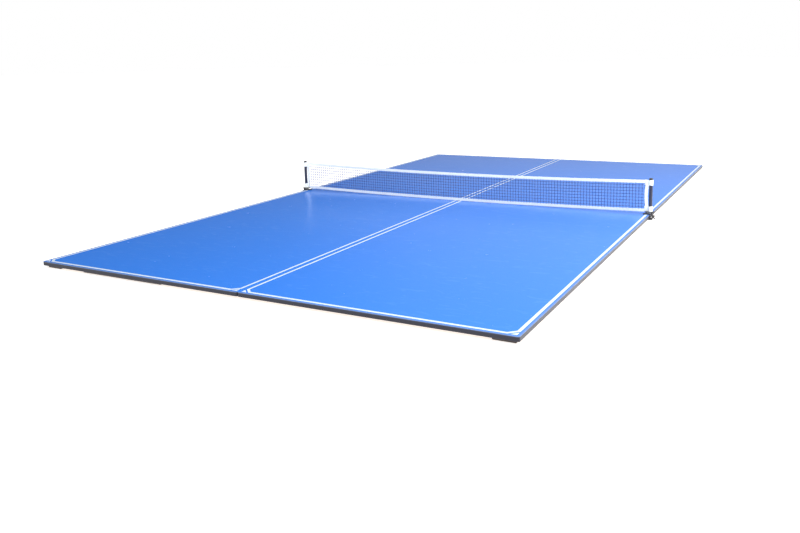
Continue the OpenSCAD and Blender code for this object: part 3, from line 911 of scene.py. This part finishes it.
def sleeve_seams(build, side, end):
    """The two short rows that sew a sleeve's tails over the net's corner."""
    low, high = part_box(f"{side}_{end}_sleeve")
    tail = min(abs(low.x), abs(high.x))
    for x in (tail + 0.0012, tail + 0.0048):
        for i in range(4):
            z = low.z + 0.0035 + STITCH_PITCH * i
            for face in (-1, 1):
                stitch(build, Vector((SIDES[side] * x, face * HALF_T, z)), Z_AXIS, face)


def seams():
    """The rows of stitches that hold the tapes and sleeves to the netting."""
    build = Build()
    long_seams(build)
    for side in SIDES:
        end_seam(build, side)
        sleeve_seams(build, side, "top")
        sleeve_seams(build, side, "bottom")
    piece = build.piece("net_seams", THREAD)
    return finish_piece(piece, "net", "net_tape")


# ---------- the clips and posts ----------

def post(side):
    """The post: a round rod with an eased foot and a shoulder under its cap, on a threaded stud."""
    low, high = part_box(f"{side}_post")
    centre = (low + high) / 2
    radius = (high.x - low.x) / 2
    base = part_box(f"{side}_clamp_frame")[1].z
    stud_r = 0.0025
    thread = 0.0003
    pitch = 0.0008
    # (radius, height) from the stud's foot to the post's top
    profile = [(stud_r - 2 * thread, low.z), (stud_r - thread, low.z + 0.0002)]
    z = low.z + 0.0004
    while z + pitch < base:
        profile += [(stud_r - thread, z), (stud_r, z + 0.35 * pitch), (stud_r - thread, z + 0.7 * pitch)]
        z += pitch
    profile += [(stud_r - thread, base - 0.00002), (stud_r, base), (radius - 0.0005, base)]
    profile += [(radius - 0.0001, base + 0.0002), (radius, base + 0.0006), (radius, base + 0.05)]
    profile += [(radius, high.z - 0.0012), (radius - 0.0003, high.z - 0.0004), (radius - 0.0006, high.z)]
    build = Build()
    lathe(build, centre, profile)
    piece = crease(build.piece(f"{side}_net_post", MATERIALS["post"]), 40)
    return finish_piece(piece, ROOT, "post", f"{side}_post")


def post_cap(side):
    """The cap: a skirt with a fine parting groove and a shallow dome with a dimple."""
    low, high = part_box(f"{side}_post_cap")
    post_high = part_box(f"{side}_post")[1].z
    centre = (low + high) / 2
    radius = (high.x - low.x) / 2
    dome = 0.0022
    # (radius, height) up the skirt, with its groove, then over the dome and into the dimple
    profile = [(radius - 0.0012, post_high + 0.00002), (radius - 0.0003, post_high + 0.0001)]
    profile += [(radius, post_high + 0.0004), (radius, post_high + 0.0014)]
    profile += [(radius - 0.00025, post_high + 0.0016), (radius - 0.00025, post_high + 0.0018)]
    profile += [(radius, post_high + 0.0020), (radius, high.z - dome)]
    for k in range(1, 8):
        a = math.radians(90 * k / 8)
        profile.append((radius - dome * (1 - math.cos(a)), high.z - dome + dome * math.sin(a)))
    profile += [(radius - dome, high.z), (0.0022, high.z - 0.00005), (0.0014, high.z - 0.0004)]
    profile += [(0.0004, high.z - 0.0005)]
    build = Build()
    lathe(build, centre, profile)
    piece = crease(build.piece(f"{side}_cap", MATERIALS["cap"]), 40)
    return finish_piece(piece, ROOT, "cap", f"{side}_post_cap")


def ribbed_pad(side, node, body, face):
    """A rubber pad with ribs across its gripping face; face is -1 if that is below and 1 if above."""
    low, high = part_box(f"{side}_{node}")
    flat_z, grip_z = (high.z, low.z) if face < 0 else (low.z, high.z)
    ribs = 12
    groove = 0.00035
    pitch = (high.x - low.x) / ribs
    # (x, z) from one end of the flat side, over the ribs, to its other end
    profile = [(low.x + 0.0002, flat_z), (low.x, flat_z + 0.5 * (grip_z - flat_z))]
    for i in range(ribs):
        x = low.x + i * pitch
        profile += [(x + 0.12 * pitch, grip_z - face * groove), (x + 0.28 * pitch, grip_z)]
        profile += [(x + 0.72 * pitch, grip_z), (x + 0.88 * pitch, grip_z - face * groove)]
    profile += [(high.x, flat_z + 0.5 * (grip_z - flat_z)), (high.x - 0.0002, flat_z)]
    build = Build()
    build.loft([[Vector((x, y, z)) for x, z in profile] for y in (low.y, 0.0, high.y)])
    name = f"{side}_{'foot' if face < 0 else 'jaw'}_grip"
    piece = crease(build.piece(name, MATERIALS["grip_rubber"]), 25)
    return finish_piece(piece, body, "grip_rubber", f"{side}_{node}")


def torsion_spring(side):
    """The clip's spring: a coil of wire with one leg bearing on the frame's neck and the other lying along the
    jaw.
    """
    sign = SIDES[side]
    hinge = next(j for j in frame["joints"] if j["name"] == f"{side}_clip_squeeze")
    pivot = Vector(hinge["pos_m"])
    turns = 4
    coil_r = 0.0024
    wire_r = 0.0004
    half = 0.0022
    upper = math.radians(10)
    lower = math.radians(46)
    upper_leg = 0.0045
    lower_leg = 0.0052
    sweep = 2 * math.pi * turns - (lower - upper)
    steps = 150

    def at(a, y, out=0.0):
        """A point on the turns at angle a, or out along the wire's own direction there."""
        x = coil_r * math.cos(a) + out * math.sin(a)
        z = coil_r * math.sin(a) - out * math.cos(a)
        return Vector((pivot.x + sign * x, y, pivot.z + z))

    path = [at(upper, -half, -upper_leg * t) for t in (1, 0.75, 0.5, 0.25)]
    path += [at(upper - sweep * i / steps, -half + 2 * half * i / steps) for i in range(steps + 1)]
    path += [at(lower, half, lower_leg * t) for t in (0.25, 0.5, 0.75, 1)]
    build = Build()
    build.wire(path, wire_r)
    piece = crease(build.piece(f"{side}_torsion_spring", MATERIALS["spring_steel"]), 60)
    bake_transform(piece)
    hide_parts(f"{side}_spring")


# ---------- the studio ----------

# The camera's lens and shift, its place, and which way it looks and holds its right side
SENSOR_MM = 36.0
LENS_MM = 34.57
LENS_SHIFT = -0.1106
CAMERA_PLACE = Vector((1.294, -2.829, 0.599))
CAMERA_AHEAD = Vector((-0.4786, 0.8647, -0.1526))
CAMERA_RIGHT = Vector((0.8765, 0.4807, -0.0249))

# Brightness of the surround: the band at the horizon, the side walls, the front wall and the ceiling
HORIZON = 1.0
WALL_FAR_LEFT = 0.03
WALL_LEFT = 0.14
WALL_MIDDLE = 0.42
WALL_RIGHT = 0.66
WALL_FRONT = 0.5
CEILING = 0.42

# The floor's own glow, half its width, and its height
FLOOR_GLOW = 0.68
FLOOR_HALF = 60
FLOOR_Z = -0.0005


def camera():
    """The camera stands beyond the near end, to its right, and 0.6 m above the floor."""
    ahead = CAMERA_AHEAD.normalized()
    right = (CAMERA_RIGHT - CAMERA_RIGHT.dot(ahead) * ahead).normalized()
    up = right.cross(ahead)
    data = bpy.data.cameras.new("camera")
    data.sensor_width = SENSOR_MM
    data.lens = LENS_MM
    data.shift_y = LENS_SHIFT
    data.clip_start = 0.05
    data.clip_end = 100
    cam = bpy.data.objects.new("camera", data)
    bpy.context.scene.collection.objects.link(cam)
    turn = Matrix((right, up, -ahead)).transposed().to_4x4()
    cam.matrix_world = Matrix.Translation(CAMERA_PLACE) @ turn
    bpy.context.scene.camera = cam


def lamp(name, place, size, power):
    """A large soft lamp that shines on the middle of the object."""
    data = bpy.data.lights.new(name, "AREA")
    data.shape = "RECTANGLE"
    data.size, data.size_y = size
    data.energy = power
    lit = bpy.data.objects.new(name, data)
    lit.location = place
    lit.rotation_euler = (-Vector(place)).to_track_quat("-Z", "Y").to_euler()
    bpy.context.scene.collection.objects.link(lit)


class Surround:
    """The world's shader: greys that depend on the direction a ray leaves in."""

    def __init__(self):
        self.world = bpy.data.worlds.new("surround")
        self.world.use_nodes = True
        self.tree = self.world.node_tree
        direction = self.tree.nodes.new("ShaderNodeTexCoord")
        self.split = self.tree.nodes.new("ShaderNodeSeparateXYZ")
        self.tree.links.new(direction.outputs["Generated"], self.split.inputs["Vector"])

    def ramp(self, value, *stops):
        """value through a ramp of (place, grey) stops."""
        made = self.tree.nodes.new("ShaderNodeValToRGB")
        elements = made.color_ramp.elements
        while len(elements) < len(stops):
            elements.new(0.5)
        for element, (place, grey) in zip(elements, stops):
            element.position = place
            element.color = (grey, grey, grey, 1)
        self.tree.links.new(value, made.inputs["Fac"])
        return made.outputs["Color"]

    def upward(self):
        """How far up the direction points: 0 or less is level or down, 1 is straight up."""
        return self.split.outputs["Z"]

    def across(self, axis):
        """The direction along X or Y, from 0 at the axis's low end to 1 at its high end."""
        made = self.tree.nodes.new("ShaderNodeMapRange")
        made.inputs["From Min"].default_value = -1.0
        self.tree.links.new(self.split.outputs[axis], made.inputs["Value"])
        return made.outputs["Result"]

    def mixed(self, kind, a, b):
        """Two greys added or multiplied."""
        made = self.tree.nodes.new("ShaderNodeMix")
        made.data_type = "RGBA"
        made.blend_type = kind
        made.inputs["Factor"].default_value = 1.0
        self.tree.links.new(a, made.inputs["A"])
        self.tree.links.new(b, made.inputs["B"])
        return made.outputs["Result"]


def surround():
    """A white band at the horizon, side walls brighter to the right, a front wall and a ceiling."""
    s = Surround()
    left_to_right = ((0.08, WALL_FAR_LEFT), (0.20, WALL_LEFT), (0.28, WALL_MIDDLE), (0.43, WALL_RIGHT))
    sides = s.ramp(s.across("X"), *left_to_right)
    front = s.ramp(s.across("Y"), (0.05, WALL_FRONT), (0.35, 0.0))
    height = s.ramp(s.upward(), (0.10, 0.0), (0.14, 1.0), (0.5, 1.0), (0.75, 0.0))
    ends = s.ramp(s.upward(), (0.078, HORIZON), (0.10, 0.0), (0.5, 0.0), (0.9, CEILING))
    walls = s.mixed("MULTIPLY", s.mixed("ADD", sides, front), height)
    s.tree.links.new(s.mixed("ADD", walls, ends), s.tree.nodes["Background"].inputs["Color"])
    bpy.context.scene.world = s.world
    bpy.context.scene.view_settings.view_transform = "Standard"


def white_floor():
    """A large floor just below the pads that glows a little, so that it stays white."""
    pale = Paint("floor", (0.9, 0.9, 0.9), 0.9, Emission_Color=(1, 1, 1, 1), Emission_Strength=FLOOR_GLOW)
    signs = ((-1, -1), (1, -1), (1, 1), (-1, 1))
    corners = [(x * FLOOR_HALF, y * FLOOR_HALF, FLOOR_Z) for x, y in signs]
    mesh_piece("floor", corners, [(0, 1, 2, 3)], pale.material, smooth=False)


# ---------- the whole ----------

dress_cad_nodes()
for quarter in QUARTERS:
    playing_surface(quarter)
    foam_pieces(quarter, "corner_pads", "pads", "foam_pad")
    foam_pieces(quarter, "foam_strips", "strips", "foam_strip")
for side in SIDES:
    post(side)
    post_cap(side)
    ribbed_pad(side, "foot_pad", ROOT, -1)
    ribbed_pad(side, "jaw_pad", f"{side}_jaw", 1)
    torsion_spring(side)
    soften(f"{side}_clamp_frame", 0.0003)
    soften(f"{side}_clamp_jaw", 0.0003)
    soften(f"{side}_post_nut", 0.0002)
    side_tape(side)
    sleeve(side, "top")
    sleeve(side, "bottom")
top_tape()
bottom_tape()
netting()
seams()
camera()
surround()
white_floor()
lamp("side_lamp", (2.2, 0.0, 2.2), (1.6, 2.4), 100)
lamp("front_lamp", (1.2, -2.4, 2.4), (2.2, 1.6), 62)
